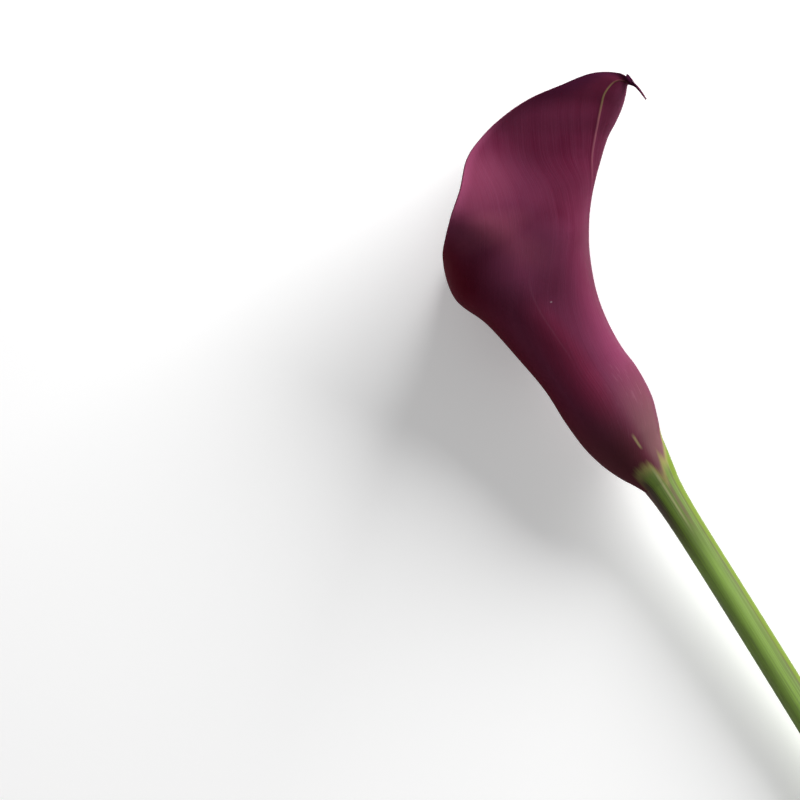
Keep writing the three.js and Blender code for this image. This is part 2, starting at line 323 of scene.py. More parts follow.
# %% Stations of the spathe
STATIONS = np.array([
    # back x, y      front x, y     half   rib  near  far  lift
    [0.1, 5.2,       -0.1, -5.2,     5.2,  14, 198, 150, 0],
    [-6.9, 6.5,      -4.5, -6.8,     6.6,  14, 202, 153, 0],
    [-12.3, 7.5,     -9.6, -9.2,     8.3,  13, 222, 168, 0],
    [-17.5, 9.4,     -14.9, -11.2,  10.6,  12, 232, 182, 0],
    [-24.0, 11.4,    -21.8, -12.7,  12.2,  11, 236, 188, 0],
    [-32.9, 12.1,    -30.9, -13.3,  12.9,  10, 238, 190, 0],
    [-41.4, 11.5,    -42.0, -13.3,  13.4,  10, 238, 190, 0],
    [-50.9, 12.2,    -54.0, -14.9,  14.8,  10, 236, 188, 0],
    [-59.9, 14.3,    -68.2, -17.4,  17.5,  10, 232, 184, 0],
    [-69.5, 18.3,    -79.8, -21.4,  21.6,   9, 207, 172, 0],
    [-76.4, 22.4,    -91.9, -18.0,  24.0,   9, 162, 146, 0],
    [-82.2, 26.8,    -99.4, -10.8,  24.6,  10, 119, 108, 0],
    [-86.9, 31.2,    -105.5, -4.0,  24.2,  13, 102, 92, 0.4],
    [-91.7, 36.4,    -112.6, 2.6,   22.8,  21, 96, 88, 1.6],
    [-96.2, 41.7,    -115.9, 10.0,  20.8,  27, 100, 88, 3.8],
    [-98.9, 46.3,    -117.6, 18.4,  18.2,  33, 96, 88, 7.0],
    [-101.5, 50.1,   -117.9, 27.8,  14.4,  39, 93, 82, 11.0],
    [-103.8, 52.6,   -116.5, 37.6,  10.2,  45, 90, 76, 15.5],
    [-105.8, 54.5,   -114.7, 47.1,   6.4,  45, 84, 70, 19.0],
    [-106.1, 55.1,   -111.1, 53.6,   3.2,  38, 78, 68, 21],
    [-105.3, 55.9,   -108.2, 55.9,   1.8,  20, 70, 64, 22.5],
    [-103.7, 56.8,   -104.2, 57.1,   1.2,   0, 45, 45, 22.5],
    [-99.2, 57.2,    -99.3, 57.4,    0.9,   0, 30, 30, 21.5],
])
BACK_X, BACK_Y, FRONT_X, FRONT_Y, HALF, RIB, NEAR, FAR, LIFT = range(9)
LAST_STATION = len(STATIONS) - 1


def along_stations(column, w):
    """A curve through one column of the stations, at the places w counted in stations."""
    index = np.clip(np.floor(w).astype(int), 0, LAST_STATION - 1)
    values = STATIONS[:, column]
    a, b, c, d = (values[np.clip(index + i, 0, LAST_STATION)] for i in (-1, 0, 1, 2))
    t = w - index
    return b + 0.5 * t * (c - a + t * (2 * a - 5 * b + 4 * c - d + t * (3 * (b - c) + d - a)))


print("the spathe goes through", len(STATIONS), "stations")

# %% [markdown]
# A cut flower touches a table at the belly of its spathe and at the cut end of its stem. So its axis sinks
# from the mouth to the foot in a straight line, and the stem goes on down in a soft curve until it lies on
# its cut end.

# %% Height of the axis
FOOT_HEIGHT = 16.5
SAG_POWER = 1.5


def axis_height(x):
    drop = FOOT_HEIGHT - STEM_CUT_RADIUS
    sinking = STEM_CUT_RADIUS + drop * np.clip(1 - x / STEM_LENGTH, 0, None) ** SAG_POWER
    return np.where(x < 0, FOOT_HEIGHT - drop * SAG_POWER * x / STEM_LENGTH, sinking)


# %% [markdown]
# One place on the leaf is two numbers: w, how far up it is in stations, and s, which runs from the far
# margin, -1, over the midrib, 0, to the near margin, 1. Where the flaps overlap, one has to pass outside
# the other, so the leaf stands off its roll a little more the further round it goes. At the mouth its rim
# flares outwards and waves, as a margin does that grew faster than the rest of its leaf.

# %% Flaps and rim
FLAP_SPACING = 0.8
SPACING_STATIONS = (0, 1.6)
RIM_START = 0.62
NEAR_FLARE = 2
FAR_FLARE = 4.5
NEAR_FLARE_STATIONS = (9.6, 11.4)
FAR_FLARE_STATIONS = (10.8, 13.5)
FLARE_OUT_STATIONS = (13.5, 18)
RIM_WAVE = 1.3
RIM_WAVES = 5
NEAR_WAVE_PHASE = 3.2
FAR_WAVE_PHASE = 2.4


def smooth(value, low, high):
    """0 up to low and 1 from high on, with a soft change between them."""
    t = np.clip((value - low) / (high - low), 0, 1)
    return t * t * (3 - 2 * t)


def standing_off(w, s, angle):
    """How far outside its plain roll the leaf is, in millimetres."""
    turned = np.sign(angle) * np.sin(np.minimum(np.abs(angle), math.pi) / 2)
    spaced = FLAP_SPACING * smooth(w, *SPACING_STATIONS) * turned
    rim = (np.clip(np.abs(s) - RIM_START, 0, None) / (1 - RIM_START)) ** 2
    flare_in = np.where(s > 0, smooth(w, *NEAR_FLARE_STATIONS), smooth(w, *FAR_FLARE_STATIONS))
    flared = flare_in * (1 - smooth(w, *FLARE_OUT_STATIONS))
    phase = np.where(s > 0, NEAR_WAVE_PHASE, FAR_WAVE_PHASE)
    wave = np.sin(RIM_WAVES * 2 * math.pi * w / LAST_STATION + phase)
    flare = np.where(s > 0, NEAR_FLARE, FAR_FLARE)
    return spaced + rim * flared * (flare + RIM_WAVE * wave)


# %% [markdown]
# An ellipse would be too flat a section for so plump a leaf, so the back of the roll is made fuller, and
# at the mouth the near flap's front too. There the near flap also dishes up towards its margin. The crest
# of that rise runs slantwise down the flap and catches the light. Where the tip narrows to its tail, the
# same margin curls outwards.

# %% Fullness, dish and curl
FULLNESS = 0.7
FULLNESS_AT_TIP = 0.28
BACK_FULL_STATIONS = (3, 11)
FRONT_FULL_STATIONS = (9.7, 11.6)
TIP_FULL_STATIONS = (15, 19)
DISH = 7.5
DISH_START = 0.2
DISH_POWER = 1.5
DISH_STATIONS = (8.9, 10.6)
DISH_OUT_STATIONS = (11, 15)
CREST_SLANT = 3.6
CURL = 1.7
CURL_START = 0.3
CURL_STATION = 20.35
CURL_STATIONS = 0.22


def fullness(w, angle):
    """How much fuller than an ellipse the section is."""
    most = FULLNESS + (FULLNESS_AT_TIP - FULLNESS) * smooth(w, *TIP_FULL_STATIONS)
    in_front = np.where(angle > 0, smooth(w, *FRONT_FULL_STATIONS), 0)
    return most * np.where(np.cos(angle) > 0, smooth(w, *BACK_FULL_STATIONS), in_front)


def dish_rise(w, s):
    """How far the near flap rises towards its margin."""
    share = np.clip(s - DISH_START, 0, None) / (1 - DISH_START)
    reach = w + CREST_SLANT * (1 - share)
    risen = smooth(reach, *DISH_STATIONS) * (1 - smooth(reach, *DISH_OUT_STATIONS))
    return DISH * risen * share**DISH_POWER


def margin_curl(w, s):
    """How far the near margin curls outwards."""
    return CURL * np.exp(-(((w - CURL_STATION) / CURL_STATIONS) ** 2)) * smooth(s, CURL_START, 1)


# %% [markdown]
# Now the rule that turns w and s into a place. The stations give the two points where the section crosses
# the flower's own plane, and the leaf goes round between them. Its lowest part is pressed flat on the
# floor, as the soft leaf is on a table. The press is eased in, so that no crease shows where it begins.

# %% Places of the rolled leaf
BLADE = 0.9
REST_BLEND = 0.9


def rested(height):
    """The height of the leaf's middle surface, kept half a blade or more above the floor."""
    over = height - BLADE / 2
    eased = np.where(over < -REST_BLEND, 0, (over + REST_BLEND) ** 2 / (4 * REST_BLEND))
    return BLADE / 2 + np.where(over < REST_BLEND, eased, over)


def sheet_points(w, s, raised):
    """Places of the leaf's middle surface in millimetres, raised outwards by the given height."""
    back = np.stack([along_stations(BACK_X, w), along_stations(BACK_Y, w)], axis=-1)
    front = np.stack([along_stations(FRONT_X, w), along_stations(FRONT_Y, w)], axis=-1)
    half = along_stations(HALF, w)
    rib, near, far = (np.radians(along_stations(column, w)) for column in (RIB, NEAR, FAR))
    angle = np.where(s >= 0, rib + s * (near - rib), rib + s * (far + rib))

    span = np.linalg.norm(front - back, axis=-1)
    to_front = (front - back) / span[..., None]
    deep = span / (1 - np.cos(np.minimum(near, math.pi)))
    out_front = -half * np.cos(angle)
    out_side = deep * np.sin(angle)
    out_length = np.hypot(out_front, out_side)
    outward = standing_off(w, s, angle) + raised

    frontward = deep - deep * np.cos(angle) + outward * out_front / out_length + margin_curl(w, s)
    bulge = half * np.sin(angle) * (1 + fullness(w, angle) * np.cos(angle) ** 2)
    sideways = bulge + outward * out_side / out_length
    flat = back + to_front * frontward[..., None]
    lift = along_stations(LIFT, w) + dish_rise(w, s)
    height = axis_height((back[..., 0] + front[..., 0]) / 2) + lift + sideways
    return np.stack([flat[..., 0], flat[..., 1], rested(height)], axis=-1)


# %% [markdown]
# The leaf starts as a flat grid, because a grid brings an even UV map: across the leaf in one direction
# and from foot to tip in the other. Every pattern on the leaf follows that map, as veins follow a real
# leaf. Each vertex then goes to its rolled place. The midrib is a low ridge, which shifts a little to the
# near flap towards the tip.

# %% Spathe
SPATHE_COLUMNS = 132
SPATHE_ROWS = 264
RIB_HEIGHT = 0.22
RIB_WIDTH = 0.022
RIB_SHIFT = 0.04
RIB_SHIFT_STATIONS = (9, 13)
RIB_RISE_STATIONS = (3, 8)
RIB_FADE_STATIONS = (19, 21)


def vertex_places(piece):
    """The places of a piece's vertices, a row for each."""
    places = np.empty(len(piece.data.vertices) * 3)
    piece.data.vertices.foreach_get("co", places)
    return places.reshape(-1, 3)


def move_vertices(piece, points):
    """Moves a piece's vertices to points in millimetres from the foot."""
    piece.data.vertices.foreach_set("co", placed(points).ravel())
    piece.data.update()


def midrib_ridge(w, s):
    """The height of the midrib above the leaf."""
    from_ridge = s - RIB_SHIFT * smooth(w, *RIB_SHIFT_STATIONS)
    grown = smooth(w, *RIB_RISE_STATIONS) * (1 - smooth(w, *RIB_FADE_STATIONS))
    return RIB_HEIGHT * np.exp(-((from_ridge / RIB_WIDTH) ** 2)) * grown


deselect_all()
bpy.ops.mesh.primitive_grid_add(x_subdivisions=SPATHE_COLUMNS, y_subdivisions=SPATHE_ROWS, size=2)
spathe = bpy.context.object
spathe.name = "spathe_leaf"
flat_places = vertex_places(spathe)
sheet_s = flat_places[:, 0]
sheet_w = (flat_places[:, 1] + 1) / 2 * LAST_STATION
move_vertices(spathe, sheet_points(sheet_w, sheet_s, midrib_ridge(sheet_w, sheet_s)))
print("spathe:", len(spathe.data.polygons), "faces before it has a wall")

# %% [markdown]
# A vein of a calla keeps its distance from the midrib for most of its way, so a pattern on the UV map
# alone would squeeze the veins where the leaf is narrow. The true distance, walked along the leaf in short
# paces, is stored with each vertex for the finish to read.

# %% Distance from the midrib
VEIN_PACES = 24


def store(piece, name, values):
    """Stores a number with each vertex of a piece."""
    attribute = piece.data.attributes.new(name, "FLOAT", "POINT")
    attribute.data.foreach_set("value", values)


paces = [sheet_points(sheet_w, sheet_s * i / VEIN_PACES, 0.0) for i in range(VEIN_PACES + 1)]
walked = sum(np.linalg.norm(end - start, axis=1) for start, end in zip(paces, paces[1:]))
store(spathe, "from_rib", walked * np.sign(sheet_s))
print(f"from the midrib to a margin: up to {walked.max():.0f} mm")

# %% [markdown]
# A real spathe is firm at its middle and thins to a fine edge. A Solidify modifier gives the sheet its
# wall: it makes the inner face and the narrow edge, each with a finish of its own. A vertex group, filled
# in small steps, says how thick the wall is at each place, and it is thinnest in the tail.

# %% Wall of the spathe
BLADE_AT_RIM = 0.65
BLADE_AT_TIP = 0.5
BLADE_AT_END = 0.15
THINNING_STATIONS = (16, 20)
TIP_THINNING_STATIONS = (17, 19.5)
END_THINNING_STATIONS = (20.8, 22)
BLADE_STEPS = 24
SPATHE_CREASE = math.radians(50)

thinned = np.maximum(smooth(np.abs(sheet_s), RIM_START, 1), smooth(sheet_w, *THINNING_STATIONS))
blade = BLADE + (BLADE_AT_RIM - BLADE) * thinned
blade += (BLADE_AT_TIP - blade) * smooth(sheet_w, *TIP_THINNING_STATIONS)
blade += (BLADE_AT_END - blade) * smooth(sheet_w, *END_THINNING_STATIONS)
blade_step = np.round(blade / BLADE * BLADE_STEPS).astype(int)
thick = spathe.vertex_groups.new(name="thickness")
for step in np.unique(blade_step):
    thick.add(np.flatnonzero(blade_step == step).tolist(), step / BLADE_STEPS, "REPLACE")
wall = spathe.modifiers.new("wall", "SOLIDIFY")
wall.thickness = BLADE * MM
wall.offset = 0
wall.vertex_group = "thickness"
wall.material_offset = 1
wall.material_offset_rim = 2
bpy.ops.object.modifier_apply(modifier="wall")
bpy.ops.object.shade_smooth_by_angle(angle=SPATHE_CREASE)
print("spathe:", len(spathe.data.polygons), "faces")

# %% [markdown]
# The stalk and the foot of the leaf are one green skin, so both finishes share one pattern. The UV maps of
# two pieces would never quite meet, so the pattern is laid out round the stalk's own axis instead. The
# angle and the distance from the foot come from the Object coordinates, which are the same for both
# pieces. The angle is 0 towards the flower's back and 90 on top, and the underside repeats the top. Fine
# fibres run lengthwise, as noise that is stretched along the stalk.

# %% Places round the stalk
FIBRES_AROUND = 8
FIBRES_ALONG = 0.02
FIBRE_SCALE = 1.6


def stalk_places(finish):
    """The angle round the stalk in degrees, the distance from the foot in millimetres, and the fibres."""
    x, y, z = (finish.math("DIVIDE", place, MM) for place in finish.split(finish.coordinates("Object")))
    along = finish.math("SUBTRACT", x, FOOT_X)
    share = finish.math("DIVIDE", along, STEM_LENGTH)
    axis_y = finish.scaled(finish.product(share, share), STEM_SWAY, FOOT_Y)
    left = finish.math("MAXIMUM", finish.math("SUBTRACT", 1.0, share), 0.0)
    sag = finish.math("POWER", left, SAG_POWER)
    axis_z = finish.scaled(sag, FOOT_HEIGHT - STEM_CUT_RADIUS, STEM_CUT_RADIUS)
    above = finish.math("ABSOLUTE", finish.math("SUBTRACT", z, axis_z))
    turn = finish.math("ARCTAN2", above, finish.math("SUBTRACT", y, axis_y))

    round_x = finish.math("MULTIPLY", finish.math("COSINE", turn), FIBRES_AROUND)
    round_y = finish.math("MULTIPLY", finish.math("SINE", turn), FIBRES_AROUND)
    lengthwise = finish.math("MULTIPLY", along, FIBRES_ALONG)
    fibres = finish.noise(finish.combine(round_x, round_y, lengthwise), FIBRE_SCALE)
    return finish.math("DEGREES", turn), along, fibres


# %% [markdown]
# No two sides of the stalk have the same green. Towards the flower's back it is yellow green. On top it is
# greyer. Beside that, on the side turned from the light, a brighter green from a little below the foot is
# painted light, and a purple brown flush runs down the other side. A thin pale line on top near the foot is
# a painted highlight. The fibres make the borders of these bands ragged. A band is an angle, its half width
# and its soft edge in degrees, and often its strength. A stretch is in millimetres from the foot.

# %% Green of the stalk
STEM_GREEN = (0.2, 0.32, 0.048)
STEM_GREY = (0.14, 0.195, 0.062)
STEM_PALE = (0.21, 0.29, 0.1)
STEM_PAINTED_LIGHT_GREEN = (0.3, 0.48, 0.095)
STEM_YELLOW = (0.15, 0.215, 0.03)
STEM_FLUSH = (0.082, 0.044, 0.045)
STEM_CREAM_HIGHLIGHT = (0.4, 0.4, 0.2)
BLOTCH_SCALE = 70
BLOTCHES = (0.4, 0.7)
BORDER_SPREAD = 50
GREY_BAND = (72, 18, 26, 0.8)
PAINTED_LIGHT_BAND = (112, 22, 34)
PAINTED_LIGHT_STRETCH = (14, 34, 0, 0.8)
PALE_FIBRES = (0.5, 0.66, 0, 0.6)
YELLOW_BAND = (5, 32, 10)
DARK_LINE = (46, 1, 6, 0.45)
CREAM_HIGHLIGHT_LINE = (88, 1.5, 5, 0.6)
CREAM_HIGHLIGHT_STRETCH = (4, 5, 12)
FLUSH_BAND = (180, 46, 24)
FLUSH_STRETCH = (4, 30, 0.95, 0.3)


def stalk_green(finish, angle, along, fibres):
    blotches = finish.noise(finish.coordinates("Object"), BLOTCH_SCALE)
    ragged = finish.total(angle, finish.scaled(fibres, BORDER_SPREAD, -BORDER_SPREAD / 2))
    # A brighter green, painted light on the side that lies in shade
    painted_light_green = finish.product(finish.band(ragged, *PAINTED_LIGHT_BAND), finish.ramp(along, *PAINTED_LIGHT_STRETCH))
    # A thin pale line, a painted highlight on a crease
    cream_highlight = finish.product(finish.band(angle, *CREAM_HIGHLIGHT_LINE), finish.band(along, *CREAM_HIGHLIGHT_STRETCH))
    flush = finish.product(finish.band(ragged, *FLUSH_BAND), finish.ramp(along, *FLUSH_STRETCH))
    green = finish.mix(finish.ramp(blotches, *BLOTCHES), STEM_GREEN, STEM_GREY)
    green = finish.tint(green, STEM_GREY, finish.band(ragged, *GREY_BAND))
    green = finish.tint(green, STEM_PAINTED_LIGHT_GREEN, painted_light_green)
    green = finish.tint(green, STEM_PALE, finish.ramp(fibres, *PALE_FIBRES))
    green = finish.tint(green, STEM_YELLOW, finish.band(ragged, *YELLOW_BAND))
    green = finish.tint(green, STEM_FLUSH, finish.band(angle, *DARK_LINE))
    green = finish.tint(green, STEM_CREAM_HIGHLIGHT, cream_highlight)
    return finish.tint(green, STEM_FLUSH, flush)


# %% [markdown]
# The leaf has no sharp end on the stalk. Its purple runs out over the green in uneven tongues, one on top
# and one far down the flushed side, and it stops short at the flower's back. So the finish works out where
# the purple ends at each angle, and counts in millimetres from there. The purple of the foot is dusty pink
# on one side and brown on the other, and just before its end it pales to olive. A dusty pink streak runs
# on from the upper tongue.

# %% End of the purple on the stalk
DUSTY_PINK = (0.155, 0.073, 0.078)
FOOT_BROWN = (0.09, 0.024, 0.031)
FOOT_OLIVE = (0.26, 0.24, 0.085)
PURPLE_SHORT_OF_FOOT = 4
TONGUE = (74, 3, 13, 5)
SHORT_SIDE = (0, 50, -9.5, 0)
LONG_SIDE = (130, 160, 0, 9)
ARCH = (104, 14, 16, -0.9)
RAGGEDNESS = 3.5
DUSTY_BAND = (52, 14, 32)
DUSTY_STRETCH = (-42, -8, 0, 0.9)
BROWN_SIDE = (70, 100)
BROWN_STRETCH = (-40, -10, 0, 0.85)
PINK_LINE = (71, 3, 7, 0.55)
PINK_STRETCH = (4, 6, 10)
PALING_START = -4
PALE_TONGUE = (68, 8, 12, -2.5)
PALE_SIDE = (120, 145, 1, 0.25)
GREEN_START = (-2, 3)


def past_purple(finish, angle, along, fibres):
    """How far past the purple's end a place on the stalk is."""
    reach = finish.total(
        finish.band(angle, *TONGUE), finish.ramp(angle, *SHORT_SIDE), finish.ramp(angle, *LONG_SIDE),
        finish.band(angle, *ARCH), finish.scaled(fibres, RAGGEDNESS, -RAGGEDNESS / 2),
    )
    return finish.math("SUBTRACT", finish.total(along, PURPLE_SHORT_OF_FOOT), reach)


def stalk_skin(finish, angle, along, fibres, purple):
    """The colour of the stalk, and of the leaf's foot where the given purple runs out over the green."""
    pink = finish.product(finish.band(angle, *PINK_LINE), finish.band(along, *PINK_STRETCH))
    dusty = finish.product(finish.band(angle, *DUSTY_BAND), finish.ramp(along, *DUSTY_STRETCH))
    brown = finish.product(finish.ramp(angle, *BROWN_SIDE), finish.ramp(along, *BROWN_STRETCH))
    green = finish.tint(stalk_green(finish, angle, along, fibres), DUSTY_PINK, pink)
    purple = finish.tint(purple, DUSTY_PINK, dusty)
    purple = finish.tint(purple, FOOT_BROWN, brown)
    past_end = past_purple(finish, angle, along, fibres)
    pale_start = finish.total(finish.band(angle, *PALE_TONGUE), PALING_START)
    paling = finish.ramp(past_end, pale_start, 0.0)
    purple = finish.tint(purple, FOOT_OLIVE, paling, finish.ramp(angle, *PALE_SIDE))
    return finish.mix(finish.ramp(past_end, *GREEN_START), purple, green)


# %% [markdown]
# Faint fine veins run the whole length of the leaf, each at its own distance from the midrib. They could
# be drawn as stripes, but real veins fade, join and wander. Noise does all three when it is narrow across
# the leaf and long up it. A slower noise shifts the whole pattern sideways, which makes it wander.

# %% Veins of the leaf
VEIN_WANDER = 1.2
# Streaks in a millimetre across the leaf, streaks in its whole length, and the detail of their noise
WANDER = (0.1, 2, 1)
FINE_VEINS = (2.2, 5, 2)
BROAD_VEINS = (0.35, 2, 3)


def streaks(finish, aside, up, number_across, number_up, detail):
    """Noise in long streaks. aside is in millimetres from the midrib, and up runs from 0 to 1."""
    across = finish.math("MULTIPLY", aside, number_across)
    lengthwise = finish.math("MULTIPLY", up, number_up)
    return finish.noise(finish.combine(across, lengthwise), 1.0, detail)


def leaf_places(finish):
    """s from margin to margin, w in stations, and a vein's place: how far aside and how far up it is."""
    across, up, _ = finish.split(finish.coordinates("UV"))
    s = finish.scaled(across, 2.0, -1.0)
    w = finish.math("MULTIPLY", up, LAST_STATION)
    from_rib = finish.attribute("from_rib")
    aside = finish.scaled(streaks(finish, from_rib, up, *WANDER), VEIN_WANDER, from_rib)
    return s, w, (aside, up)


# %% [markdown]
# Outside, the leaf is a deep wine purple, but not an even one. Broad streaks and faint clouds give the
# ground, and then each of several places is a patch with its own tone. Most of them are painted light and
# shade. Mauve and rose are painted highlights where the leaf turns to the light: on the tube's satin
# streak, along the ridge and on the flap above the crest. A wine patch is painted shade beside the midrib
# near the mouth. A redder claret lies beside the streak, and next to the midrib lower down it is darker.

# %% Purple of the leaf
PURPLE = (0.117, 0.017, 0.045)
DEEP_PURPLE = (0.1, 0.01, 0.033)
MAUVE = (0.168, 0.034, 0.079)
ROSE = (0.22, 0.052, 0.09)
WINE = (0.065, 0.008, 0.022)
CLARET = (0.19, 0.019, 0.053)
BROAD_CONTRAST = (0.3, 0.7)
CLOUD_SCALE = 28
CLOUDS = (0.4, 0.7, 0, 0.4)
# The mauve and rose patches are painted highlights, the wine patch is painted shade, and the claret and
# purple patches are tones of the leaf
LIGHT_SHADE_AND_TONE_PATCHES = (
    # middle s, w   reach s, w   tone    strength
    ((0.3, 5.5), (0.5, 4.0), MAUVE, 0.6),
    ((0.34, 8.7), (0.22, 1.4), MAUVE, 0.4),
    ((0.42, 9.5), (0.26, 1.4), MAUVE, 0.85),
    ((0.41, 6.1), (0.14, 2.6), CLARET, 0.7),
    ((0.76, 11.2), (0.44, 2.6), MAUVE, 0.5),
    ((0.92, 12.0), (0.3, 1.6), ROSE, 0.22),
    ((0.74, 10.6), (0.26, 0.8), ROSE, 0.4),
    ((0.27, 11.6), (0.26, 1.5), WINE, 0.4),
    ((0.08, 4.0), (0.12, 1.8), PURPLE, 0.6),
)


def leaf_purple(finish, s, w, broad):
    purple = finish.mix(finish.ramp(broad, *BROAD_CONTRAST), DEEP_PURPLE, PURPLE)
    clouds = finish.noise(finish.coordinates("Object"), CLOUD_SCALE)
    purple = finish.tint(purple, MAUVE, finish.ramp(clouds, *CLOUDS))
    # Painted highlights, painted shade and tones, laid on one after another
    for middle, reach, tone, strength in LIGHT_SHADE_AND_TONE_PATCHES:
        purple = finish.tint(purple, tone, finish.patch(s, w, middle, reach, strength))
    return purple


# %% [markdown]
# Below the crest of the near flap the leaf turns away from the light, and there it is nearly a black red.
# The studio's light alone doesn't make it so dark, so a deeper wine is laid on as painted shade. Along the
# crest itself a rose line is laid on as a painted highlight. The fine veins come over both, and are all but
# lost in the painted shade.

# %% Crest and shaded side
PAINTED_SHADE_WINE = (0.082, 0.002, 0.009)
CREST_LEAN = -3.2
BELOW_CREST = (6.9, 7.9, 1, 0)
SHADED_FLAP = (0.44, 0.72)
SHADE = 0.92
CREST_HIGHLIGHT = (8.25, 0.05, 0.5, 0.4)
CREST_HIGHLIGHT_SPAN = (0.6, 0.16, 0.2)
FINE_CONTRAST = (0.5, 0.75)
VEIN_STRENGTH = 0.22
VEINS_LOST_IN_SHADE = 0.2


def crest_and_shade(finish, purple, s, w, fine):
    from_crest = finish.scaled(s, CREST_LEAN, w)
    shaded = finish.product(finish.ramp(s, *SHADED_FLAP), finish.ramp(from_crest, *BELOW_CREST))
    # Painted shade below the crest, then a painted highlight of rose along it
    purple = finish.tint(purple, PAINTED_SHADE_WINE, shaded, SHADE)
    purple = finish.tint(purple, ROSE, finish.band(from_crest, *CREST_HIGHLIGHT), finish.band(s, *CREST_HIGHLIGHT_SPAN))
    vein_share = finish.scaled(shaded, -VEINS_LOST_IN_SHADE, VEIN_STRENGTH)
    return finish.tint(purple, MAUVE, finish.ramp(fine, *FINE_CONTRAST), vein_share)


# %% [markdown]
# Towards the tip the purple deepens. Where the far flap turns under towards the light, mauve is laid on as
# painted light, and it is nearly black on the near margin. A flower has small marks too, and without them
# it would look like wax: pale flecks between the veins near the foot, one tiny speck, and one vein on the
# side that stands out.

# %% Tip and marks of the leaf
TAIL_PURPLE = (0.04, 0.006, 0.022)
FLECK = (0.36, 0.15, 0.22)
SPECK = (0.5, 0.36, 0.4)
WINE_TOP = (14, 17, 0, 0.85)
LIT_UNDER_FLAP = (-0.25, 0, 0.7, 0)
LIT_UNDER_FLAP_TOP = (12, 15)
DARK_MARGIN = (0.3, 0.9)
DARK_MARGIN_TOP = (14.5, 17.5, 0, 0.8)
SHORT_VEINS = (1.6, 32, 2)
FLECK_CONTRAST = (0.58, 0.72)
FLECKED_PLACE = ((0.24, 4.2), (0.2, 2.2), 0.22)
SPECK_PLACE = ((0.32, 8.03), (0.007, 0.032), 0.5)
SIDE_VEIN = (0.385, 0.001, 0.006, 0.09)
SIDE_VEIN_SPAN = (7.6, 0.7, 0.9)


def tip_and_marks(finish, purple, s, w, vein_place):
    painted_light_under = finish.product(finish.ramp(s, *LIT_UNDER_FLAP), finish.ramp(w, *LIT_UNDER_FLAP_TOP))
    dark_margin = finish.product(finish.ramp(s, *DARK_MARGIN), finish.ramp(w, *DARK_MARGIN_TOP))
    flecks = finish.ramp(streaks(finish, *vein_place, *SHORT_VEINS), *FLECK_CONTRAST)
    purple = finish.tint(purple, WINE, finish.ramp(w, *WINE_TOP))
    # Mauve as painted light, where the far flap turns under towards the light
    purple = finish.tint(purple, MAUVE, painted_light_under)
    purple = finish.tint(purple, TAIL_PURPLE, dark_margin)
    purple = finish.tint(purple, FLECK, flecks, finish.patch(s, w, *FLECKED_PLACE))
    purple = finish.tint(purple, SPECK, finish.patch(s, w, *SPECK_PLACE))
    return finish.tint(purple, FLECK, finish.band(s, *SIDE_VEIN), finish.band(w, *SIDE_VEIN_SPAN))


# %% [markdown]
# Two lines stand out in the photograph's view: a thin rose rim along the margin of the mouth, and the
# midrib, which is pale near the tip and fades further down. The midrib's colour follows its ridge. It
# turns from pink to olive before the tail, which is nearly black.

# %% Rim and midrib
RIM_ROSE = (0.25, 0.055, 0.12)
RIB_PINK = (0.3, 0.1, 0.13)
RIB_OLIVE = (0.17, 0.12, 0.055)
RIM_MARGIN = (0.93, 1)
RIM_SPAN = (12.8, 1, 2, 0.5)
RIB_LINE = (0.001, 0.02, 1, 0)
PALE_RIB_START = (11, 15, 0, 0.85)
PALE_RIB_END = (17, 18.6, 1, 0.2)
OLIVE_RIB_START = (14.5, 16.5)
TAIL_START = (19.2, 20.2)


def rim_and_midrib(finish, purple, s, w):
    margin = finish.ramp(finish.math("ABSOLUTE", s), *RIM_MARGIN)
    purple = finish.tint(purple, RIM_ROSE, margin, finish.band(w, *RIM_SPAN))
    ridge = finish.ramp(w, *RIB_SHIFT_STATIONS, 0.0, RIB_SHIFT)
    from_ridge = finish.math("ABSOLUTE", finish.math("SUBTRACT", s, ridge))
    rib_colour = finish.mix(finish.ramp(w, *OLIVE_RIB_START), RIB_PINK, RIB_OLIVE)
    pale = finish.product(finish.ramp(w, *PALE_RIB_START), finish.ramp(w, *PALE_RIB_END))
    purple = finish.tint(purple, rib_colour, finish.ramp(from_ridge, *RIB_LINE), pale)
    return finish.tint(purple, TAIL_PURPLE, finish.ramp(w, *TAIL_START))


# %% [markdown]
# The outside puts these together, from the ground up, with a small dry scar at the foot as the last touch.
# A calla's skin is velvety, so it is rough, with hardly any mirror shine, and roughest at its margin and
# its mouth. Some light goes through the leaf, which warms its shadows. The veins are also a fine relief.

# %% Finish of the spathe's outside
SCAR = (0.3, 0.25, 0.12)
SCAR_LINE = (0.325, 0.002, 0.013, 0.75)
SCAR_SPAN = (2.65, 0.2, 0.4)
VELVET_ROUND = (0.35, 0.65, 0.5, 0.75)
VELVET_MOUTH = (9, 12, 0.5, 0.8)
FINE_RELIEF = 0.6


def outside_finish():
    finish = Finish("spathe outside")
    s, w, vein_place = leaf_places(finish)
    fine = streaks(finish, *vein_place, *FINE_VEINS)
    broad = streaks(finish, *vein_place, *BROAD_VEINS)
    purple = leaf_purple(finish, s, w, broad)
    purple = crest_and_shade(finish, purple, s, w, fine)
    purple = tip_and_marks(finish, purple, s, w, vein_place)
    purple = rim_and_midrib(finish, purple, s, w)
    colour = stalk_skin(finish, *stalk_places(finish), purple)
    colour = finish.tint(colour, SCAR, finish.band(s, *SCAR_LINE), finish.band(w, *SCAR_SPAN))
    velvet = finish.math("MAXIMUM", finish.ramp(s, *VELVET_ROUND), finish.ramp(w, *VELVET_MOUTH))
    finish.set(base_color=colour, roughness=velvet, specular_ior_level=0.02)
    finish.set(subsurface_weight=0.08, subsurface_scale=1.5 * MM, subsurface_radius=(1.0, 0.25, 0.35))
    finish.bump(finish.scaled(fine, FINE_RELIEF, broad), strength=0.2, distance=0.3)
    return finish.material


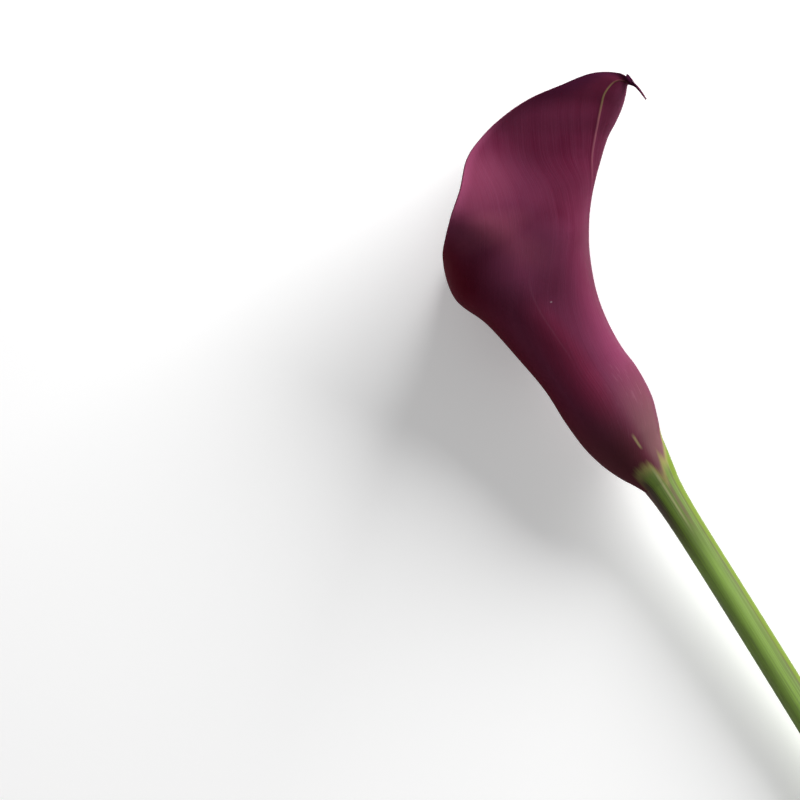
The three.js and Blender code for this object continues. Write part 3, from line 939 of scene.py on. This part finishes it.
# %% [markdown]
# The inside of the funnel is darker and redder, glossier than the outside, and green at its bottom. The
# narrow edge between the two faces is thin enough for light to come through, so it looks pink. At the foot
# it wears the stalk's skin, because the leaf ends there on the stalk.

# %% Finish of the throat and of the edge
THROAT = (0.035, 0.003, 0.01)
THROAT_LIGHT = (0.09, 0.006, 0.028)
THROAT_FOOT = (0.12, 0.12, 0.03)
THROAT_FOOT_END = (0.5, 3)
EDGE_PINK = (0.24, 0.03, 0.1)
EDGE_MAGENTA = (0.19, 0.012, 0.07)
EDGE_TAIL_START = (19.6, 20.8)
EDGE_FOOT_END = (2, 5, 1, 0)


def throat_finish():
    finish = Finish("spathe throat")
    _, w, vein_place = leaf_places(finish)
    fine = streaks(finish, *vein_place, *FINE_VEINS)
    broad = streaks(finish, *vein_place, *BROAD_VEINS)
    colour = finish.mix(finish.ramp(broad, *BROAD_CONTRAST), THROAT, THROAT_LIGHT)
    colour = finish.mix(finish.ramp(w, *THROAT_FOOT_END), THROAT_FOOT, colour)
    colour = finish.tint(colour, TAIL_PURPLE, finish.ramp(w, *TAIL_START))
    finish.set(base_color=colour, roughness=0.42, specular_ior_level=0.35)
    finish.set(subsurface_weight=0.1, subsurface_scale=2 * MM, subsurface_radius=(1.0, 0.2, 0.3))
    finish.bump(finish.total(fine, broad), strength=0.3, distance=0.3)
    return finish.material


def edge_finish():
    finish = Finish("spathe edge")
    _, w, vein_place = leaf_places(finish)
    broad = streaks(finish, *vein_place, *BROAD_VEINS)
    pink = finish.mix(finish.ramp(broad, *BROAD_CONTRAST), EDGE_PINK, EDGE_MAGENTA)
    pink = finish.tint(pink, TAIL_PURPLE, finish.ramp(w, *EDGE_TAIL_START))
    pink = finish.tint(pink, DEEP_PURPLE, finish.ramp(w, *EDGE_FOOT_END))
    colour = stalk_skin(finish, *stalk_places(finish), pink)
    finish.set(base_color=colour, roughness=0.5, specular_ior_level=0.3)
    finish.set(subsurface_weight=0.2, subsurface_scale=2 * MM)
    return finish.material


for made in (outside_finish(), throat_finish(), edge_finish()):
    spathe.data.materials.append(made)
    print(made.name, "takes", len(made.node_tree.nodes), "nodes")
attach(spathe, "root")
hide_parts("spathe")

# %% [markdown]
# The stem is one smooth round stalk, thickest where it carries the flower and a little thicker again at
# its cut. A curve with a bevel would do for an even stalk. Here a circle at the neck is extruded along the
# axis ring by ring, as by hand, and each ring is resized to the stalk's thickness there. The neck is the
# narrow top of the stalk, which the foot of the leaf wraps.

# %% Stem
STEM_RADIUS = 4.5
STEM_SWELL = 1.1
STEM_SWELL_LENGTH = 7
NECK_LENGTH = 7
NECK_RADIUS = 4.4
NECK_TIP_RADIUS = 3.52
NECK_TIP_LENGTH = 1
SHOULDER = 0.12
STEM_SIDES = 48
STEM_RINGS = 90


def stem_axis(x):
    """Point of the stem's axis at the distance x from the foot, in metres."""
    return Vector(placed([x, STEM_SWAY * max(x / STEM_LENGTH, 0) ** 2, axis_height(x)]))


def stem_radius(x):
    along = max(x - SHOULDER, 0) / (STEM_LENGTH - SHOULDER)
    swell = STEM_SWELL * math.exp(-max(x, 0) / STEM_SWELL_LENGTH)
    return STEM_RADIUS + (STEM_CUT_RADIUS - STEM_RADIUS) * along**2 + swell


rings = [(-NECK_LENGTH, NECK_TIP_RADIUS)]
rings += [(x, NECK_RADIUS) for x in (-NECK_LENGTH + NECK_TIP_LENGTH, SHOULDER)]
for i in range(STEM_RINGS + 1):
    x = SHOULDER + (STEM_LENGTH - SHOULDER) * i / STEM_RINGS
    rings.append((x, stem_radius(x)))

deselect_all()
first_x, first_radius = rings[0]
bpy.ops.mesh.primitive_circle_add(
    vertices=STEM_SIDES, radius=first_radius * MM, fill_type="NGON", location=stem_axis(first_x),
    rotation=(0, math.radians(-90), 0),
)
stem = bpy.context.object
stem.name = "stem_stalk"
bpy.ops.object.transform_apply(location=True, rotation=True, scale=True)
bpy.ops.object.mode_set(mode="EDIT")
bpy.ops.mesh.select_all(action="SELECT")
for (x, radius), (next_x, next_radius) in zip(rings, rings[1:]):
    centre = stem_axis(next_x)
    growth = next_radius / radius
    bpy.ops.mesh.extrude_region_move(TRANSFORM_OT_translate={"value": centre - stem_axis(x)})
    bpy.ops.transform.resize(value=(1, growth, growth), center_override=centre)
bpy.ops.object.mode_set(mode="OBJECT")
print("stem:", len(stem.data.polygons), "faces")

# %% [markdown]
# The cut end is not a flat lid. A knife leaves a thin green rind round a paler core, which sinks a little
# as it dries. So the end face is inset by the rind and pushed in, and then inset again and again, which
# gives the pith enough faces. The end face is found by what it is: only the two ends have more than four
# corners, and it is the one further along the stem.

# %% Cut end of the stem
CUT_RIND = 0.5
CUT_SINK = 0.25
PITH_RINGS = 5
PITH_RING = 0.7
CUT_CREASE = math.radians(40)


def face_outwards():
    """Turns every face of the piece at hand outwards."""
    bpy.ops.object.mode_set(mode="EDIT")
    bpy.ops.mesh.select_all(action="SELECT")
    bpy.ops.mesh.normals_make_consistent(inside=False)
    bpy.ops.object.mode_set(mode="OBJECT")


bpy.ops.object.mode_set(mode="EDIT")
bpy.ops.mesh.select_all(action="DESELECT")
bpy.ops.object.mode_set(mode="OBJECT")
end_face = max(stem.data.polygons, key=lambda face: (len(face.vertices) > 4, face.center.x))
end_face.select = True
bpy.ops.object.mode_set(mode="EDIT")
bpy.ops.mesh.inset(thickness=CUT_RIND * MM)
bpy.ops.transform.translate(value=(-CUT_SINK * MM, 0, 0))
for _ in range(PITH_RINGS):
    bpy.ops.mesh.inset(thickness=PITH_RING * MM)
face_outwards()
bpy.ops.object.shade_smooth_by_angle(angle=CUT_CREASE)
print("stem with its cut:", len(stem.data.polygons), "faces")

# %% [markdown]
# The stalk wears the green skin, with its fibres as a fine relief. Where the leaf wraps it, it is brown.
# The pith in its cut end is pale and spongy, with darker dots where its vessels end. It gets a finish of
# its own, on the faces that lie at the cut and look along the stem.

# %% Finish of the stem
PITH = (0.45, 0.5, 0.27)
PITH_DOT = (0.27, 0.33, 0.13)
PITH_SCALE = 900
PITH_DOTS = (0.5, 0.62)
CUT_FACING = 0.9


def stem_finish():
    finish = Finish("stem skin")
    angle, along, fibres = stalk_places(finish)
    colour = stalk_skin(finish, angle, along, fibres, FOOT_BROWN)
    finish.set(base_color=colour, roughness=0.5, specular_ior_level=0.06)
    finish.set(subsurface_weight=0.08, subsurface_scale=1.5 * MM, subsurface_radius=(0.6, 1.0, 0.3))
    finish.bump(fibres, strength=0.3, distance=0.3)
    return finish.material


def cut_finish():
    finish = Finish("stem cut")
    dots = finish.noise(finish.coordinates("Object"), PITH_SCALE, detail=2.0)
    colour = finish.mix(finish.ramp(dots, *PITH_DOTS), PITH, PITH_DOT)
    finish.set(base_color=colour, roughness=0.6, subsurface_weight=0.2, subsurface_scale=2 * MM)
    finish.bump(dots, strength=0.5, distance=0.3)
    return finish.material


stem.data.materials.append(stem_finish())
stem.data.materials.append(cut_finish())
cut_start = stem_high.x - 2 * CUT_SINK * MM
at_cut = [face for face in stem.data.polygons if face.center.x > cut_start]
pith_faces = [face for face in at_cut if abs(face.normal.x) > CUT_FACING]
for face in pith_faces:
    face.material_index = 1
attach(stem, "root")
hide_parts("stem")
print("cut end:", len(pith_faces), "faces of pith")

# %% [markdown]
# The spadix is a rod that stands on the neck, in the middle of the tube. Its axis could be a straight
# line, but the tube bends. So it is a smooth curve, fitted to the tube's own middle at a few stations. It
# starts just short of the neck, as in the solid.

# %% Axis of the spadix
NECK_GAP = 0.6
SPADIX_STATIONS = np.array([2.5, 4, 5.5, 7, 8.5, 9.5])
AXIS_DEGREE = 4


def tube_middle(w):
    x = (along_stations(BACK_X, w) + along_stations(FRONT_X, w)) / 2
    y = (along_stations(BACK_Y, w) + along_stations(FRONT_Y, w)) / 2
    return np.stack([x, y, axis_height(x)], axis=-1)


foot_x = -NECK_LENGTH - NECK_GAP
route = np.vstack([[foot_x, 0.0, float(axis_height(foot_x))], tube_middle(SPADIX_STATIONS)])
steps = np.linalg.norm(np.diff(route, axis=0), axis=1)
lengths = np.concatenate([[0], np.cumsum(steps)])
axis_fit = [np.polynomial.Polynomial.fit(lengths, route[:, k], AXIS_DEGREE) for k in range(3)]
print(f"the spadix has {lengths[-1]:.0f} mm of the tube to follow")

# %% [markdown]
# The rod is packed with florets in staggered rows. They could be copies of one floret, but hundreds of
# them would cost many faces for a piece that is mostly hidden. A sphere is already closed at both ends and
# evenly spaced round its axis, so it is stretched along the curve into the rod, and a wave in both
# directions raises the florets. Their height is stored for the finish.

# %% Spadix
SPADIX_LENGTH = 62
SPADIX_RADIUS = 4.1
SPADIX_FOOT_RADIUS = 2.8
SPADIX_TAPER = 0.2
BLUNT_TIP = 0.1
BLUNT_FOOT = 0.02
FLORET_RELIEF = 0.35
FLORETS_AROUND = 11
FLORET_ROWS = 26
FLORET_BLUNTNESS = 0.6
SPADIX_SEGMENTS = 132
SPADIX_RINGS = 240
FLORET_CREASE = math.radians(60)


def blunt_end(from_end, length):
    """1 along the rod, rounded down to 0 over the given length before its end."""
    into_end = np.clip(length - from_end, 0, None) / length
    return np.sqrt(np.clip(1 - into_end**2, 0, None))


deselect_all()
bpy.ops.mesh.primitive_uv_sphere_add(segments=SPADIX_SEGMENTS, ring_count=SPADIX_RINGS, radius=1)
spadix = bpy.context.object
spadix.name = "spadix_spike"
sphere_x, sphere_y, sphere_z = vertex_places(spadix).T
share = np.arccos(np.clip(-sphere_z, -1, 1)) / math.pi
round_angle = np.arctan2(sphere_y, sphere_x)
lattice = np.cos(FLORETS_AROUND * round_angle) * np.cos(2 * math.pi * FLORET_ROWS * share)
knobs = np.sign(lattice) * np.abs(lattice) ** FLORET_BLUNTNESS
thickness = SPADIX_FOOT_RADIUS + (SPADIX_RADIUS - SPADIX_FOOT_RADIUS) * smooth(share, 0, SPADIX_TAPER)
ends = blunt_end(1 - share, BLUNT_TIP) * blunt_end(share, BLUNT_FOOT)
radius = (thickness + FLORET_RELIEF * knobs) * ends

distance = share * SPADIX_LENGTH
centres = np.stack([fit(distance) for fit in axis_fit], axis=-1)
tangents = np.stack([fit.deriv()(distance) for fit in axis_fit], axis=-1)
tangents /= np.linalg.norm(tangents, axis=1)[:, None]
sides = np.cross([0.0, 0.0, 1.0], tangents)
sides /= np.linalg.norm(sides, axis=1)[:, None]
ups = np.cross(tangents, sides)
sideways = sides * (radius * np.cos(round_angle))[:, None]
upwards = ups * (radius * np.sin(round_angle))[:, None]
move_vertices(spadix, centres + sideways + upwards)
store(spadix, "floret", knobs)
face_outwards()
bpy.ops.object.shade_smooth_by_angle(angle=FLORET_CREASE)
print("spadix:", len(spadix.data.polygons), "faces")

# %% [markdown]
# Florets are golden where they stand out, and the creases between them are darkened to olive brown as
# painted shade. The stored height picks the tone, which keeps each crease dark whatever the light. A very
# fine grain is the pollen.

# %% Finish of the spadix
POLLEN_GOLD = (0.72, 0.42, 0.07)
CREASE_SHADE_BROWN = (0.22, 0.11, 0.02)
POLLEN_ORANGE = (0.5, 0.22, 0.05)
CREASE_SHADE_SPAN = (-0.8, 0.4)
POLLEN_SCALE = 2500
POLLEN_STRENGTH = 0.4


def spadix_finish():
    finish = Finish("spadix florets")
    pollen = finish.noise(finish.coordinates("Object"), POLLEN_SCALE, detail=2.0)
    # Olive brown in the creases is painted shade
    colour = finish.mix(finish.ramp(finish.attribute("floret"), *CREASE_SHADE_SPAN), CREASE_SHADE_BROWN, POLLEN_GOLD)
    colour = finish.tint(colour, POLLEN_ORANGE, pollen, POLLEN_STRENGTH)
    finish.set(base_color=colour, roughness=0.7, subsurface_weight=0.15, subsurface_scale=1 * MM)
    finish.bump(pollen, strength=0.5, distance=0.2)
    return finish.material


spadix.data.materials.append(spadix_finish())
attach(spadix, "root")
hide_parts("spadix")
print("pieces of the flower:", [piece.name for piece in (spathe, stem, spadix)])
